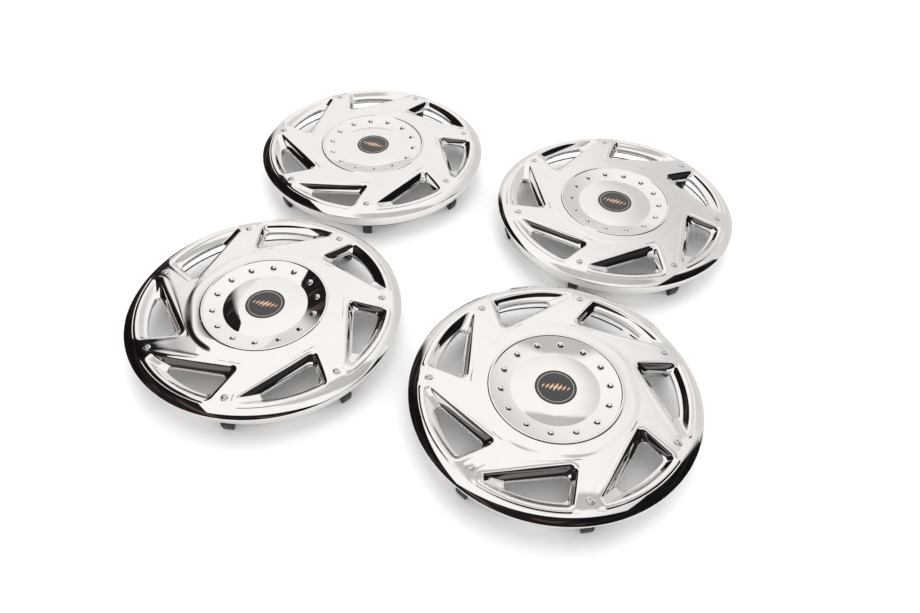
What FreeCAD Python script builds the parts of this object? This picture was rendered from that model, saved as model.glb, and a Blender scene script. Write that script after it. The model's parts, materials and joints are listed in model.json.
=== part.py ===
import FreeCAD, Part
import math
import os
import Sketcher
from FreeCAD import Placement, Rotation, Vector

# Set of four identical chrome wheel covers lying face up on their clips, in millimetres.
# Z is up and the floor that the clips stand on is Z = 0. Levels are heights above that floor.

# Name, place of the axle on the floor and turn of the first screw, for each cover
COVERS = (
    ("front_left", -284.6, -145.4, 7.1),
    ("front_right", 155.3, -281.5, 23.4),
    ("rear_left", -164.9, 281.5, 15.4),
    ("rear_right", 284.6, 139.7, 39.2),
)
SPOKES = 7
DOMES = 2 * SPOKES
FULL_TURN = 360.0

DRIVING_DIMENSIONS = (
    # Face of the moulding, from the axle outwards
    ("badge_radius", 29.3),
    ("badge_gap", 0.3),
    ("badge_seat_level", 51.6),
    ("disc_edge_level", 53.4),
    ("disc_dome_radius", 260.0),
    ("disc_radius", 64.0),
    ("disc_foot_level", 50.7),
    ("bead_inner_radius", 92.4),
    ("bead_foot_level", 57.0),
    ("bead_crest_inner_radius", 93.6),
    ("bead_crest_outer_radius", 95.8),
    ("bead_crest_level", 58.3),
    ("bead_outer_radius", 97.0),
    ("plateau_level", 56.9),
    ("plateau_radius", 121.0),
    ("spoke_radius", 125.5),
    ("spoke_level", 56.0),
    ("rim_radius", 188.0),
    ("rim_level", 54.9),
    ("rim_roll_radius", 31.0),
    ("cover_radius", 209.0),
    ("lip_top_level", 45.8),
    ("lip_bottom_level", 43.9),
    # Ring of small domes on the dish and collars under the screw heads
    ("dome_circle_radius", 78.2),
    ("dome_phase", 7.0),
    ("dome_radius", 3.3),
    ("dome_crown_radius", 3.6),
    ("dome_foot_level", 52.5),
    ("dome_side_level", 53.9),
    ("dome_top_level", 56.3),
    ("collar_radius", 6.5),
    ("collar_foot_level", 53.6),
    ("collar_level", 55.6),
    ("collar_edge", 0.5),
    # Back of the moulding
    ("wall", 2.6),
    ("lip_width", 2.0),
    ("skirt_radius", 199.0),
    ("skirt_wall", 2.0),
    ("skirt_top_level", 48.4),
    ("skirt_root_level", 49.6),
    ("skirt_bottom_level", 21.0),
    ("seat_level", 51.8),
    ("seat_outer_radius", 188.0),
    ("seat_inner_radius", 171.0),
    ("seat_step", 1.5),
    ("spoke_back_level", 52.6),
    # Vent windows: mouth in the face and hole at the foot of the sloping well
    ("mouth_level", 55.5),
    ("hole_level", 44.5),
    ("hole_foot_level", 39.5),
    ("cut_level", 58.0),
    ("well_root_level", 53.9),
    ("window_wall", 2.0),
    ("mouth_tip_radius", 178.7),
    ("mouth_tip_angle", 4.9),
    ("mouth_hub_radius", 125.5),
    ("mouth_hub_angle", 51.6),
    ("mouth_wide_angle", 44.5),
    ("mouth_end_angle", 5.4),
    ("mouth_rim_radius", 188.5),
    ("hole_tip_radius", 165.7),
    ("hole_tip_angle", 14.5),
    ("hole_hub_radius", 136.2),
    ("hole_hub_angle", 47.1),
    ("hole_wide_angle", 42.7),
    ("hole_end_angle", 16.0),
    ("hole_rim_radius", 174.5),
    ("tip_rounding", 3.6),
    ("corner_rounding", 8.0),
    # Screws
    ("screw_circle_radius", 178.9),
    ("screw_head_radius", 5.0),
    ("screw_head_edge", 0.9),
    ("screw_head_height", 1.8),
    ("screw_shank_radius", 1.8),
    ("screw_end_level", 44.5),
    ("screw_hole_radius", 2.2),
    # Clips
    ("clip_width", 15.0),
    ("clip_heel_radius", 173.0),
    ("flange_thickness", 4.0),
    ("flange_slot_half", 2.6),
    ("leg_inner_radius", 186.6),
    ("leg_outer_radius", 195.8),
    ("shoulder_radius", 187.5),
    ("shoulder_level", 48.0),
    ("hook_root_level", 20.2),
    ("hook_top_level", 17.5),
    ("hook_bottom_level", 11.0),
    ("hook_radius", 198.8),
    ("toe_outer_radius", 195.5),
    ("toe_inner_radius", 190.6),
    ("toe_heel_level", 7.0),
    # Spring wire ring and the slot that each clip gives it
    ("wire_radius", 1.1),
    ("wire_side", 0.55),
    ("wire_rise", 0.95),
    ("ring_radius", 190.4),
    ("ring_level", 14.0),
    ("ring_turn", 356.0),
    ("slot_inner_radius", 188.8),
    ("slot_outer_radius", 193.8),
    ("slot_bottom_level", 12.5),
    ("slot_top_level", 16.6),
    # Badge
    ("badge_thickness", 2.2),
    ("badge_edge", 0.8),
)

doc = FreeCAD.newDocument("wheel_cover_set")
sheet = doc.addObject("Spreadsheet::Sheet", "dims")
for row, (alias, size) in enumerate(DRIVING_DIMENSIONS, start=1):
    sheet.set("A%d" % row, alias)
    sheet.set("B%d" % row, str(size))
    sheet.setAlias("B%d" % row, alias)
doc.recompute()


def dim(alias):
    """Value of one driving dimension."""
    return float(sheet.get(alias))


def value_of(expression):
    """Value of driving dimensions and numbers joined by + and -."""
    total = 0.0
    sign = 1.0
    for word in expression.split():
        if word in "+-":
            sign = 1.0 if word == "+" else -1.0
        else:
            total += sign * (dim(word) if word[0].isalpha() else float(word))
    return total


def cell(expression):
    """The same expression in the sheet's own terms."""
    return " ".join("dims." + word if word[0].isalpha() else word for word in expression.split())


def origin_item(body, role):
    """One of a body's own origin planes or axes."""
    return next(item for item in body.Origin.OriginFeatures if item.Role == role)


def new_body(label):
    """An empty body whose label names its file."""
    body = doc.addObject("PartDesign::Body", label)
    body.Label = label
    return body


def new_sketch(body, name, role, level=None):
    """A sketch on one of the body's origin planes, raised to a bound level."""
    sketch = body.newObject("Sketcher::SketchObject", name)
    sketch.AttachmentSupport = (origin_item(body, role), [""])
    sketch.MapMode = "FlatFace"
    if level:
        sketch.setExpression("AttachmentOffset.Base.z", cell(level))
    return sketch


def hold(sketch, kind, edge, vertex, expression):
    """Keep a point of an edge at a bound distance from the sketch's origin."""
    constraint = Sketcher.Constraint(kind, -1, 1, edge, vertex, value_of(expression))
    number = sketch.addConstraint(constraint)
    sketch.setExpression("Constraints[%d]" % number, cell(expression))


def crowned_arc(start, end, radius):
    """Arc between two points that bulges to the left of the way between them."""
    chord = end - start
    left = Vector(-chord.y, chord.x, 0).normalize()
    rise = radius - math.sqrt(radius ** 2 - (chord.Length / 2) ** 2)
    return Part.Arc(start, (start + end) / 2 + left * rise, end)


def draw_profile(sketch, corners, crowns=None):
    """Closed outline through bound corners; crowns maps an edge's number to its bulge radius."""
    crowns = crowns or {}
    points = [Vector(value_of(across), value_of(up), 0) for across, up in corners]
    count = len(points)
    for edge, start in enumerate(points):
        end = points[(edge + 1) % count]
        if edge in crowns:
            sketch.addGeometry(crowned_arc(start, end, dim(crowns[edge])), False)
        else:
            sketch.addGeometry(Part.LineSegment(start, end), False)
    for edge in range(count):
        following = (edge + 1) % count
        last = 1 if edge in crowns else 2
        first = 2 if following in crowns else 1
        sketch.addConstraint(Sketcher.Constraint("Coincident", edge, last, following, first))
    for edge, (across, up) in enumerate(corners):
        first = 2 if edge in crowns else 1
        if across == "0":
            sketch.addConstraint(Sketcher.Constraint("PointOnObject", edge, first, -2))
        else:
            hold(sketch, "DistanceX", edge, first, across)
        hold(sketch, "DistanceY", edge, first, up)
    for edge, radius in crowns.items():
        number = sketch.addConstraint(Sketcher.Constraint("Radius", edge, dim(radius)))
        sketch.setExpression("Constraints[%d]" % number, cell(radius))


def revolve(body, name, corners, crowns=None):
    """Turn a profile of radii and levels once round the body's Z axis."""
    sketch = new_sketch(body, name + "_profile", "XZ_Plane")
    draw_profile(sketch, corners, crowns)
    feature = body.newObject("PartDesign::Revolution", name)
    feature.Profile = sketch
    feature.ReferenceAxis = (origin_item(body, "Z_Axis"), [""])
    feature.Angle = FULL_TURN
    return feature


def stud(body, name, axis_radius, corners, crowns=None, phase=0.0):
    """Small turned boss on the face, round an upright axis at a distance from the axle.

    The corners are distances from that axis and levels, and phase turns the boss round the axle.
    """
    sketch = new_sketch(body, name + "_profile", "XZ_Plane")
    sketch.AttachmentOffset = Placement(Vector(0, 0, 0), Rotation(Vector(0, 1, 0), phase))
    top, foot = corners[0][1], corners[-1][1]
    off_axis = [(axis_radius + " + " + across, level) for across, level in corners if across != "0"]
    draw_profile(sketch, [(axis_radius, foot), (axis_radius, top)] + off_axis, crowns)
    feature = body.newObject("PartDesign::Revolution", name)
    feature.Profile = sketch
    feature.ReferenceAxis = (sketch, ["Edge1"])
    feature.Angle = FULL_TURN
    return feature


def repeat(body, name, originals, count=SPOKES):
    """Repeat features evenly round the axle and make the result the body's tip."""
    feature = body.newObject("PartDesign::PolarPattern", name)
    feature.Originals = originals
    feature.Axis = (origin_item(body, "Z_Axis"), [""])
    feature.Angle = FULL_TURN
    feature.Occurrences = count
    body.Tip = feature
    return feature


def polar(radius, angle):
    """Point at a distance from the axle and an angle in degrees from the first screw."""
    turn = math.radians(angle)
    return Vector(radius * math.cos(turn), radius * math.sin(turn), 0)


def left_of(start, end):
    """Unit vector to the left of the way from one point to another."""
    along = (end - start).normalize()
    return Vector(-along.y, along.x, 0)


def crossing(side, other):
    """Where two sides meet when they are drawn on."""
    along = side[1] - side[0]
    across = other[1] - other[0]
    gap = other[0] - side[0]
    reach = (gap.x * across.y - gap.y * across.x) / (along.x * across.y - along.y * across.x)
    return side[0] + along * reach


def side_corner(side, other, rounding):
    """Centre and tangent points of the rounding where one straight side turns into the next."""
    inner = (side[0] - left_of(*side) * rounding, side[1] - left_of(*side) * rounding)
    outer = (other[0] - left_of(*other) * rounding, other[1] - left_of(*other) * rounding)
    centre = crossing(inner, outer)
    return centre, centre + left_of(*side) * rounding, centre + left_of(*other) * rounding


def rim_corner(side, rim_end, rim, rounding):
    """Centre and tangent points of the rounding between a straight side and the rim arc."""
    along = (side[1] - side[0]).normalize()
    start = rim_end - left_of(*side) * rounding
    lean = start.dot(along)
    spread = math.sqrt(lean ** 2 - start.dot(start) + (rim - rounding) ** 2)
    reach = min((-lean + spread, -lean - spread), key=abs)
    centre = start + along * reach
    return centre, centre + left_of(*side) * rounding, Vector(centre).normalize() * rim


def bend(centre, start, end):
    """Rounding of a corner, bulging away from its centre."""
    middle = (start + end) / 2 - centre
    return Part.Arc(start, centre + middle.normalize() * (start - centre).Length, end)


def draw_window(sketch, level, wall=0.0):
    """Outline of a vent window at a level, moved outwards by a wall.

    It runs clockwise: up the straight hub side from the tip, across the wide end, and back
    along the rim side, which is an arc round the axle.
    """
    drop = (dim("mouth_level") - level) / (dim("mouth_level") - dim("hole_level"))

    def size(name):
        """A size that changes evenly from the mouth to the hole."""
        return dim("mouth_" + name) + drop * (dim("hole_" + name) - dim("mouth_" + name))

    rim = size("rim_radius") + wall
    tip = polar(size("tip_radius"), size("tip_angle"))
    hub = polar(size("hub_radius"), size("hub_angle"))
    wide = polar(size("rim_radius"), size("wide_angle"))
    end = polar(size("rim_radius"), size("end_angle"))
    hub_side, wide_side, tip_side = [
        (start + left_of(start, stop) * wall, stop + left_of(start, stop) * wall)
        for start, stop in ((tip, hub), (hub, wide), (end, tip))
    ]
    small = dim("tip_rounding") + wall
    large = dim("corner_rounding") + wall
    tip_centre, tip_start, tip_end = side_corner(tip_side, hub_side, small)
    hub_centre, hub_start, hub_end = side_corner(hub_side, wide_side, large)
    wide_centre, wide_start, wide_end = rim_corner(wide_side, wide_side[1], rim, large)
    end_centre, end_end, end_start = rim_corner(tip_side, tip_side[0], rim, small)
    rim_middle = (wide_end + end_start).normalize() * rim
    edges = (
        bend(tip_centre, tip_start, tip_end),
        Part.LineSegment(tip_end, hub_start),
        bend(hub_centre, hub_start, hub_end),
        Part.LineSegment(hub_end, wide_start),
        bend(wide_centre, wide_start, wide_end),
        Part.Arc(wide_end, rim_middle, end_start),
        bend(end_centre, end_start, end_end),
        Part.LineSegment(end_end, tip_start),
    )
    for number, edge in enumerate(edges):
        sketch.addGeometry(edge, False)
        sketch.addConstraint(Sketcher.Constraint("Block", number))


def window_loft(body, name, kind, levels, wall=0.0):
    """Sloping walls of one window between two levels, added or cut away."""
    sections = []
    for level in levels:
        sketch = new_sketch(body, "%s_at_%s" % (name, level), "XY_Plane", level)
        draw_window(sketch, dim(level), wall)
        sections.append(sketch)
    feature = body.newObject("PartDesign::" + kind, name)
    feature.Profile = sections[0]
    feature.Sections = sections[1:]
    feature.Ruled = True
    return feature


def window_shaft(body, name, kind, wall=0.0):
    """Upright lip of one window from the hole down to its foot, added or cut away."""
    sketch = new_sketch(body, name + "_outline", "XY_Plane", "hole_level")
    draw_window(sketch, dim("hole_level"), wall)
    feature = body.newObject("PartDesign::" + kind, name)
    feature.Profile = sketch
    feature.setExpression("Length", cell("hole_level - hole_foot_level"))
    feature.Reversed = kind == "Pad"
    return feature


def circle_sketch(body, name, level, across, radius):
    """A bound circle on the first spoke's centre line."""
    sketch = new_sketch(body, name, "XY_Plane", level)
    sketch.addGeometry(Part.Circle(Vector(dim(across), 0, 0), Vector(0, 0, 1), dim(radius)), False)
    hold(sketch, "DistanceX", 0, 3, across)
    sketch.addConstraint(Sketcher.Constraint("PointOnObject", 0, 3, -1))
    number = sketch.addConstraint(Sketcher.Constraint("Radius", 0, dim(radius)))
    sketch.setExpression("Constraints[%d]" % number, cell(radius))
    return sketch


def make_face(cover):
    """Chrome moulding: dished centre, seven swept vent windows, rolled rim and skirt."""
    body = new_body(cover + "_face")
    disc_dome = 2
    rim_roll = 10
    revolve(body, "moulding", (
        ("0", "badge_seat_level"),
        ("badge_radius + badge_gap", "badge_seat_level"),
        ("badge_radius + badge_gap", "disc_edge_level"),
        ("disc_radius", "disc_foot_level"),
        ("bead_inner_radius", "bead_foot_level"),
        ("bead_crest_inner_radius", "bead_crest_level"),
        ("bead_crest_outer_radius", "bead_crest_level"),
        ("bead_outer_radius", "plateau_level"),
        ("plateau_radius", "plateau_level"),
        ("spoke_radius", "spoke_level"),
        ("rim_radius", "rim_level"),
        ("cover_radius", "lip_top_level"),
        ("cover_radius", "lip_bottom_level"),
        ("cover_radius - lip_width", "lip_bottom_level"),
        ("skirt_radius", "skirt_top_level"),
        ("skirt_radius", "skirt_bottom_level"),
        ("skirt_radius - skirt_wall", "skirt_bottom_level"),
        ("skirt_radius - skirt_wall", "skirt_root_level"),
        ("seat_outer_radius", "seat_level"),
        ("seat_inner_radius", "seat_level"),
        ("seat_inner_radius - seat_step", "spoke_back_level"),
        ("plateau_radius", "plateau_level - wall"),
        ("bead_inner_radius", "plateau_level - wall"),
        ("disc_radius", "disc_foot_level - wall"),
        ("0", "badge_seat_level - wall"),
    ), {disc_dome: "disc_dome_radius", rim_roll: "rim_roll_radius"})
    dome_crown = 1
    dome = stud(body, "dome", "dome_circle_radius", (
        ("0", "dome_top_level"),
        ("dome_radius", "dome_side_level"),
        ("dome_radius", "dome_foot_level"),
    ), {dome_crown: "dome_crown_radius"}, dim("dome_phase"))
    repeat(body, "domes", [dome], DOMES)
    collar = stud(body, "collar", "screw_circle_radius", (
        ("collar_radius - collar_edge", "collar_level"),
        ("collar_radius", "collar_level - collar_edge"),
        ("collar_radius", "collar_foot_level"),
    ))
    repeat(body, "collars", [collar])
    well = window_loft(body, "well", "AdditiveLoft", ("well_root_level", "hole_level"),
                       dim("window_wall"))
    lip = window_shaft(body, "well_lip", "Pad", dim("window_wall"))
    repeat(body, "wells", [well, lip])
    mouth = window_loft(body, "mouth", "SubtractiveLoft", ("cut_level", "hole_level"))
    hole = window_shaft(body, "hole", "Pocket")
    bore = body.newObject("PartDesign::Pocket", "screw_hole")
    bore.Profile = circle_sketch(body, "screw_hole_outline", "cut_level",
                                 "screw_circle_radius", "screw_hole_radius")
    bore.setExpression("Length", cell("cut_level - hole_foot_level"))
    repeat(body, "windows", [mouth, hole, bore])
    return body


def make_badge(cover):
    """Round centre badge, seated in the disc."""
    body = new_body(cover + "_badge")
    revolve(body, "badge", (
        ("0", "badge_seat_level"),
        ("badge_radius", "badge_seat_level"),
        ("badge_radius", "badge_seat_level + badge_thickness - badge_edge"),
        ("badge_radius - badge_edge", "badge_seat_level + badge_thickness"),
        ("0", "badge_seat_level + badge_thickness"),
    ))
    return body


def make_screws(cover):
    """Seven screws that hold the clips, as one group of separate solids."""
    body = new_body(cover + "_screws")
    body.AllowCompound = True
    top = "collar_level + screw_head_height"
    screw = stud(body, "screw", "screw_circle_radius", (
        ("screw_head_radius - screw_head_edge - screw_head_edge", top),
        ("screw_head_radius", "collar_level + screw_head_edge"),
        ("screw_head_radius", "collar_level"),
        ("screw_shank_radius", "collar_level"),
        ("screw_shank_radius", "screw_end_level"),
    ))
    repeat(body, "screws", [screw])
    return body


def make_ring(cover):
    """Black spring wire ring, split at one place, that runs through the clips."""
    body = new_body(cover + "_spring_ring")
    ring = revolve(body, "wire", (
        ("ring_radius - wire_radius", "ring_level"),
        ("ring_radius - wire_side", "ring_level - wire_rise"),
        ("ring_radius + wire_side", "ring_level - wire_rise"),
        ("ring_radius + wire_radius", "ring_level"),
        ("ring_radius + wire_side", "ring_level + wire_rise"),
        ("ring_radius - wire_side", "ring_level + wire_rise"),
    ))
    ring.setExpression("Angle", cell("ring_turn"))
    return body


def make_clip(cover, number):
    """Black clip: flange under the face, leg, hook for the wheel and slot for the ring."""
    body = new_body("%s_clip_%d" % (cover, number))
    sketch = new_sketch(body, "side", "XZ_Plane")
    draw_profile(sketch, (
        ("clip_heel_radius", "seat_level"),
        ("shoulder_radius", "seat_level"),
        ("leg_outer_radius", "shoulder_level"),
        ("leg_outer_radius", "hook_root_level"),
        ("hook_radius", "hook_top_level"),
        ("hook_radius", "hook_bottom_level"),
        ("toe_outer_radius", "0"),
        ("toe_inner_radius", "0"),
        ("leg_inner_radius", "toe_heel_level"),
        ("leg_inner_radius", "seat_level - flange_thickness"),
        ("clip_heel_radius", "seat_level - flange_thickness"),
    ))
    blank = body.newObject("PartDesign::Pad", "blank")
    blank.Profile = sketch
    blank.SideType = "Symmetric"
    blank.setExpression("Length", cell("clip_width"))
    near = "screw_circle_radius - flange_slot_half"
    far = "screw_circle_radius + flange_slot_half"
    screw_sketch = new_sketch(body, "screw_slot_outline", "XY_Plane", "seat_level")
    draw_profile(screw_sketch, (
        (near, "- flange_slot_half"),
        (far, "- flange_slot_half"),
        (far, "flange_slot_half"),
        (near, "flange_slot_half"),
    ))
    screw_slot = body.newObject("PartDesign::Pocket", "screw_slot")
    screw_slot.Profile = screw_sketch
    screw_slot.setExpression("Length", cell("flange_thickness"))
    slot_sketch = new_sketch(body, "slot_outline", "XZ_Plane")
    draw_profile(slot_sketch, (
        ("slot_inner_radius", "slot_bottom_level"),
        ("slot_inner_radius", "slot_top_level"),
        ("slot_outer_radius", "slot_top_level"),
        ("slot_outer_radius", "slot_bottom_level"),
    ))
    slot = body.newObject("PartDesign::Pocket", "ring_slot")
    slot.Profile = slot_sketch
    slot.SideType = "Symmetric"
    slot.setExpression("Length", cell("clip_width + clip_width"))
    return body


def placed(axle, turn):
    """Place of a sub-part that is drawn round the axle with the first screw along X."""
    return Placement(Vector(axle[0], axle[1], 0), Rotation(Vector(0, 0, 1), turn))


def make_cover(cover, axle, first_screw):
    """Every sub-part of one wheel cover, in its place on the floor."""
    fixed = [make_face(cover), make_badge(cover), make_screws(cover)]
    for piece in fixed:
        piece.Placement = placed(axle, first_screw)
    ring = make_ring(cover)
    split_turn = first_screw + FULL_TURN / SPOKES / 2
    ring.Placement = placed(axle, split_turn)
    clips = []
    for number in range(1, SPOKES + 1):
        clip = make_clip(cover, number)
        clip.Placement = placed(axle, first_screw + (number - 1) * FULL_TURN / SPOKES)
        clips.append(clip)
    return fixed + [ring] + clips


def export(pieces):
    """Check every object and write one file for each sub-part."""
    for item in doc.Objects:
        if "Invalid" in item.State or "Error" in item.State:
            raise RuntimeError("%s did not recompute" % item.Label)
    os.makedirs("parts", exist_ok=True)
    for piece in pieces:
        if piece.Shape.isNull() or not piece.Shape.isValid():
            raise RuntimeError("%s has no valid shape" % piece.Label)
        piece.Shape.exportStep("parts/%s.step" % piece.Label)


sub_parts = []
for cover_name, east, north, first_screw_turn in COVERS:
    sub_parts += make_cover(cover_name, (east, north), first_screw_turn)
doc.recompute()
export(sub_parts)
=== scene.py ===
"""Studio scene of four chrome wheel covers that lie face up on their clips.

Every shape is drawn once for a cover whose axle stands at the origin and whose first screw lies
along X, in millimetres above the floor. Each cover of the frame then gets a copy of it, turned and
moved to its own place and scaled to metres. Profiles are pairs of radius and level, and run with
the material on their right.
"""

import cmath
import json
import logging
import math
from dataclasses import dataclass
from enum import Enum

import bpy
import numpy as np
from mathutils import Matrix, Vector


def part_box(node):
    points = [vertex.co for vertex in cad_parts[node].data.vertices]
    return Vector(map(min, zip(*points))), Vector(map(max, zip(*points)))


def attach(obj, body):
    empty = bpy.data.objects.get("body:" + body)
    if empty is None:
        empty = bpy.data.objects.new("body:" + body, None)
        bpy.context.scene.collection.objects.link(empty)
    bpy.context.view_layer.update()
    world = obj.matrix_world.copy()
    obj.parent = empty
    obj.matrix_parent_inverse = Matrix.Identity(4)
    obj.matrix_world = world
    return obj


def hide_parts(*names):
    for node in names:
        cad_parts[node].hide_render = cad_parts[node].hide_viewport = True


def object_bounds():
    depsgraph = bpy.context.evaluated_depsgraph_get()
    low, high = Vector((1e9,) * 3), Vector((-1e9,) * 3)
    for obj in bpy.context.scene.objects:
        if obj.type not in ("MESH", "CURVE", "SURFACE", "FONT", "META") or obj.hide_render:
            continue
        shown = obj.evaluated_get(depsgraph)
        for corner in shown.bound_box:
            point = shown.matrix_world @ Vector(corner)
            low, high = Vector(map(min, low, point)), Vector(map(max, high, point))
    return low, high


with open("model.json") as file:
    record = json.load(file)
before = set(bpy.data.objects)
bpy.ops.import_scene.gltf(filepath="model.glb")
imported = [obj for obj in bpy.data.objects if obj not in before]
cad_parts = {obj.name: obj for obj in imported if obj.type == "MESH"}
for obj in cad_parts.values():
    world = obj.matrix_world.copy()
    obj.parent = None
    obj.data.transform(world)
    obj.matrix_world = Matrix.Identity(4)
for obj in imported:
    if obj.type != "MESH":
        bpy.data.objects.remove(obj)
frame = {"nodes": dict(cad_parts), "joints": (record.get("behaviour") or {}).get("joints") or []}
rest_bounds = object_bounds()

log = logging.getLogger("wheel_covers")

Array = np.ndarray
Pair = tuple[float, float]
Side = tuple[complex, complex]

BADGE_DIRECTIONS = {"front_left": -12.6, "front_right": -7.8, "rear_left": -19.1, "rear_right": -20.8}
DRAWN_RADIUS = 209.0
SPOKES = 7
SPOKE_STEP = math.tau / SPOKES
TONE_SPAN = (0.35, 0.65)
GLOSS_SPAN = (0.3, 0.7)
COAT_ROUGHNESS = 0.04


class Slot(Enum):
    """Material slots of the record that the finishes stand for."""

    CHROME = "chrome_plate"
    BADGE = "badge"
    SCREW = "screw_steel"
    WIRE = "spring_wire"
    CLIP = "clip_plastic"


# ---------------------------------------------------------------------------------------------
# Curves and surfaces
# ---------------------------------------------------------------------------------------------


def polar(radius: float, degrees: float) -> complex:
    """Point of the plan at a distance from the axle and an angle from the first screw."""
    return cmath.rect(radius, math.radians(degrees))


def unit(side: Side) -> complex:
    """Unit vector along a straight side."""
    return (side[1] - side[0]) / abs(side[1] - side[0])


def moved_out(side: Side, wall: float) -> Side:
    """The side moved to its left by a wall."""
    shift = 1j * unit(side) * wall
    return side[0] + shift, side[1] + shift


def straight(start: complex, end: complex, steps: int) -> Array:
    """Evenly spaced points from start towards end, without the end itself."""
    return start + (end - start) * np.arange(steps) / steps


def arc(centre: complex, start: complex, end: complex, steps: int) -> Array:
    """Points on a circle from start towards end, the shorter way round, without the end."""
    sweep = cmath.phase((end - centre) / (start - centre))
    return centre + (start - centre) * np.exp(1j * sweep * np.arange(steps) / steps)


def side_bend(side: Side, other: Side, radius: float) -> tuple[complex, complex, complex]:
    """Rounding between two straight sides.

    The centre lies the radius to the right of both sides, where the two lines moved there cross.

    Args:
        side: The side that ends at the corner.
        other: The side that starts there.
        radius: Radius of the rounding.

    Returns:
        The centre and the two points where the rounding touches the sides.
    """
    start, turned = moved_out(side, -radius)[0], moved_out(other, -radius)[0]
    reach = ((turned - start).conjugate() * unit(other)).imag / (unit(side).conjugate() * unit(other)).imag
    centre = start + unit(side) * reach
    return centre, centre + 1j * unit(side) * radius, centre + 1j * unit(other) * radius


def rim_bend(side: Side, near: complex, rim: float, radius: float) -> tuple[complex, complex, complex]:
    """Rounding between a straight side and the arc round the axle that it meets.

    Args:
        side: The straight side.
        near: Its end at the rim.
        rim: Radius of the arc round the axle.
        radius: Radius of the rounding.

    Returns:
        The centre and the points where the rounding touches the side and the arc.
    """
    start = near - 1j * unit(side) * radius
    lean = (start.conjugate() * unit(side)).real
    spread = math.sqrt(lean**2 - abs(start) ** 2 + (rim - radius) ** 2)
    centre = start + unit(side) * min(-lean + spread, -lean - spread, key=abs)
    return centre, centre + 1j * unit(side) * radius, centre / abs(centre) * rim


def softened(corners: list[Pair], cut: float, steps: int = 5, closed: bool = False) -> Array:
    """Profile whose corners give way to short curves.

    A corner P becomes (1-s)^2 A + 2s(1-s) P + s^2 B, where A and B lie on its two sides at the cut
    or at 0.45 of the side, whichever is nearer.

    Args:
        corners: Radius and level of each corner.
        cut: How far from the corner the curve starts.
        steps: Points in each curve.
        closed: Whether the last corner joins the first one.

    Returns:
        Points of the softened profile, one row each, repeated at the end if it is closed.
    """
    points = np.array(corners, float)
    before, after = np.roll(points, 1, 0) - points, np.roll(points, -1, 0) - points
    reach = [np.linalg.norm(side, axis=1, keepdims=True) + 1e-9 for side in (before, after)]
    ends = [points + side * np.minimum(cut / far, 0.45) for side, far in zip((before, after), reach)]
    share = np.linspace(0.0, 1.0, steps)[None, :, None]
    curves = (
        (1 - share) ** 2 * ends[0][:, None]
        + 2 * share * (1 - share) * points[:, None]
        + share**2 * ends[1][:, None]
    )
    if closed:
        loop = curves.reshape(-1, 2)
        return np.vstack([loop, loop[:1]])
    return np.vstack([points[:1], curves[1:-1].reshape(-1, 2), points[-1:]])


def turned(profile: Array, angles: Array) -> Array:
    """Surface of two parameters: each profile point (r, z) goes to (r cos a, r sin a, z).

    Args:
        profile: Radii and levels.
        angles: Angles in radians, falling, so that faces point to the profile's left.

    Returns:
        Grid of points, one row for each profile point.
    """
    radius, level = profile[:, :1], profile[:, 1:]
    flat = np.ones_like(angles)[None]
    return np.stack([radius * np.cos(angles)[None], radius * np.sin(angles)[None], level * flat], axis=-1)


def full_turn(columns: int, first: float = 0.0) -> Array:
    """Angles of one whole turn, clockwise seen from above."""
    return first - math.tau * np.arange(columns) / columns


def lifted(plan: Array, level: Array | float) -> Array:
    """Curve in space over a curve of the plan."""
    return np.stack([plan.real, plan.imag, np.broadcast_to(level, plan.shape)], axis=-1)


def lofted(first: Array, last: Array, shares: Array) -> Array:
    """Rows of points on straight lines between two curves: (1 - s) first + s last."""
    share = shares[:, None, None]
    return (1 - share) * first + share * last


def rounded(first: Array, corner: Array, last: Array, shares: Array) -> Array:
    """Rows of points on curves from first to last: (1-s)^2 first + 2s(1-s) corner + s^2 last."""
    share = shares[:, None, None]
    return (1 - share) ** 2 * first + 2 * share * (1 - share) * corner + share**2 * last


def rotated(grid: Array, angle: float) -> Array:
    """The points turned about the axle."""
    cosine, sine = math.cos(angle), math.sin(angle)
    return grid @ np.array([[cosine, sine, 0.0], [-sine, cosine, 0.0], [0.0, 0.0, 1.0]])


class Surface:
    """A closed skin put together from grids of points that are welded where they meet."""

    def __init__(self) -> None:
        """Starts with no grid."""
        self.grids: list[Array] = []
        self.wraps: list[bool] = []

    def add(self, grid: Array, wraps: bool = False) -> None:
        """Adds a grid of points; wraps joins its last column to its first."""
        self.grids.append(grid)
        self.wraps.append(wraps)

    def repeat(self, count: int) -> "Surface":
        """A surface that holds this one repeated evenly round the axle."""
        whole = Surface()
        for number in range(count):
            for grid, wrap in zip(self.grids, self.wraps):
                whole.add(rotated(grid, math.tau * number / count), wrap)
        return whole

    def arrays(self) -> tuple[Array, Array]:
        """Welded points and four-cornered faces, where a face at a pole repeats a corner."""
        quads, start = [], 0
        for grid, wrap in zip(self.grids, self.wraps):
            rows, columns = grid.shape[:2]
            index = np.arange(rows * columns).reshape(rows, columns) + start
            if wrap:
                index = np.hstack([index, index[:, :1]])
            corners = (index[:-1, :-1], index[:-1, 1:], index[1:, 1:], index[1:, :-1])
            quads.append(np.stack(corners, axis=-1).reshape(-1, 4))
            start += rows * columns
        points = np.vstack([grid.reshape(-1, 3) for grid in self.grids])
        keys = np.round(points * 5000).astype(np.int64)
        _, keep, joined = np.unique(keys, axis=0, return_index=True, return_inverse=True)
        return points[keep], joined.reshape(-1)[np.vstack(quads)]


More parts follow.
